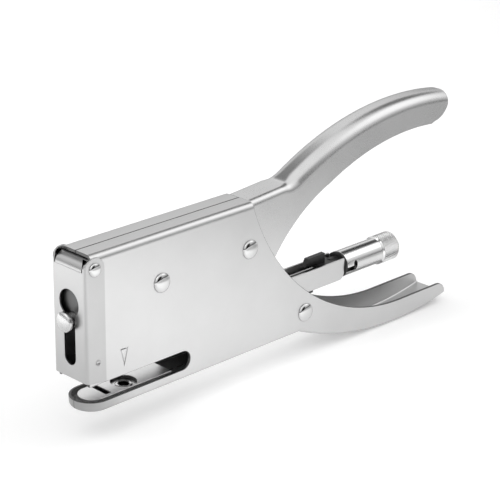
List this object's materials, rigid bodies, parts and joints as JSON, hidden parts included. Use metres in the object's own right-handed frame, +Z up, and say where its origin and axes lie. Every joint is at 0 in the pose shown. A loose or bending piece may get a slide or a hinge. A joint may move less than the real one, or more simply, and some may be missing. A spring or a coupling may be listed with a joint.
{
  "type": "plier stapler",
  "caption": "Hand-held plier stapler with a squeeze handle, linked blade drive, anvil arm and bayonet-locked rear loader",
  "frame": {"origin": "on the flat underside of the anvil arm, straight below the staple line and on the plane of symmetry", "axes": "+X from the nose towards the handles, +Y across the tool, +Z up, away from the anvil arm's underside"},
  "size_m": [0.1628, 0.0164, 0.0761],
  "materials": {
    "satin_nickel": "nickel-plated steel sheet with a fine satin finish",
    "rivet_polish": "polished nickel-plated rivet steel",
    "anvil_steel": "bright plated steel, lightly worn",
    "inner_steel": "plain zinc-plated steel",
    "dark_steel": "black-oxide steel",
    "spring_steel": "drawn spring wire",
    "lever_steel": "hardened steel lever",
    "bush_brass": "turned brass bush",
    "ground_steel": "ground and hardened steel",
    "turned_nickel": "turned, nickel-plated steel with a fine lathe grain"
  },
  "bodies": {
    "frame": {"left_shell": "satin_nickel", "right_shell": "satin_nickel", "nose_cover": "satin_nickel", "nose_rivet": "rivet_polish", "anvil_plate": "anvil_steel", "anvil_eyelet": "anvil_steel", "driver_guide": "inner_steel", "magazine_channel": "satin_nickel", "magazine_lid": "inner_steel", "staple_rail": "inner_steel", "magazine_bracket": "inner_steel", "magazine_foot": "dark_steel", "spring_seat": "inner_steel", "return_spring": "spring_steel", "rocker_rivet": "rivet_polish", "rocker_spacers": "inner_steel", "handle_rivet": "rivet_polish", "frame_rivet": "rivet_polish", "frame_spacer": "inner_steel", "bayonet_plug": "dark_steel", "bayonet_pin": "ground_steel"},
    "handle": {"upper_handle": "satin_nickel", "handle_spacer": "inner_steel", "link_pin": "ground_steel"},
    "rocker": {"rocker_lever": "lever_steel", "rocker_bush": "bush_brass"},
    "driver": {"driver_carriage": "inner_steel", "drive_pin": "ground_steel", "driver_blade": "ground_steel", "blade_rivets": "rivet_polish", "release_stud": "rivet_polish"},
    "loader": {"guide_rod": "ground_steel", "rod_stop": "ground_steel", "rod_washer": "ground_steel", "pusher_spring": "spring_steel"},
    "bayonet": {"bayonet_sleeve": "turned_nickel", "knurled_knob": "turned_nickel"},
    "pusher": {"follower": "ground_steel"}
  },
  "joints": [
    {"name": "handle_hinge", "type": "hinge", "parent": "frame", "child": "handle", "pos_m": [0.0539, 0, 0.0344], "axis": [0, 1, 0], "range_deg": [0, 22], "stiffness_Nm_per_rad": 0.5, "springref_deg": -17.19},
    {"name": "rocker_hinge", "type": "hinge", "parent": "frame", "child": "rocker", "pos_m": [0.0179, 0, 0.0337], "axis": [0, 1, 0], "range_deg": [-30.8, 0], "deforming": ["return_spring"]},
    {"name": "driver_slide", "type": "slide", "parent": "frame", "child": "driver", "axis": [0, 0, 1], "range_m": [-0.01145, 0]},
    {"name": "loader_slide", "type": "slide", "parent": "frame", "child": "loader", "axis": [1, 0, 0], "range_m": [0, 0.08]},
    {"name": "bayonet_twist", "type": "hinge", "parent": "loader", "child": "bayonet", "pos_m": [0.1012, 0, 0.0148], "axis": [1, 0, 0], "range_deg": [0, 22]},
    {"name": "follower_slide", "type": "slide", "parent": "loader", "child": "pusher", "axis": [1, 0, 0], "range_m": [0, 0.035], "stiffness_N_per_m": 30, "springref_m": -0.02, "deforming": ["pusher_spring"]}
  ],
  "couplings": [
    {"joint": "rocker_hinge", "follows": "handle_hinge", "ratio": -1.397},
    {"joint": "driver_slide", "follows": "handle_hinge", "m_per_rad": -0.02969}
  ]
}
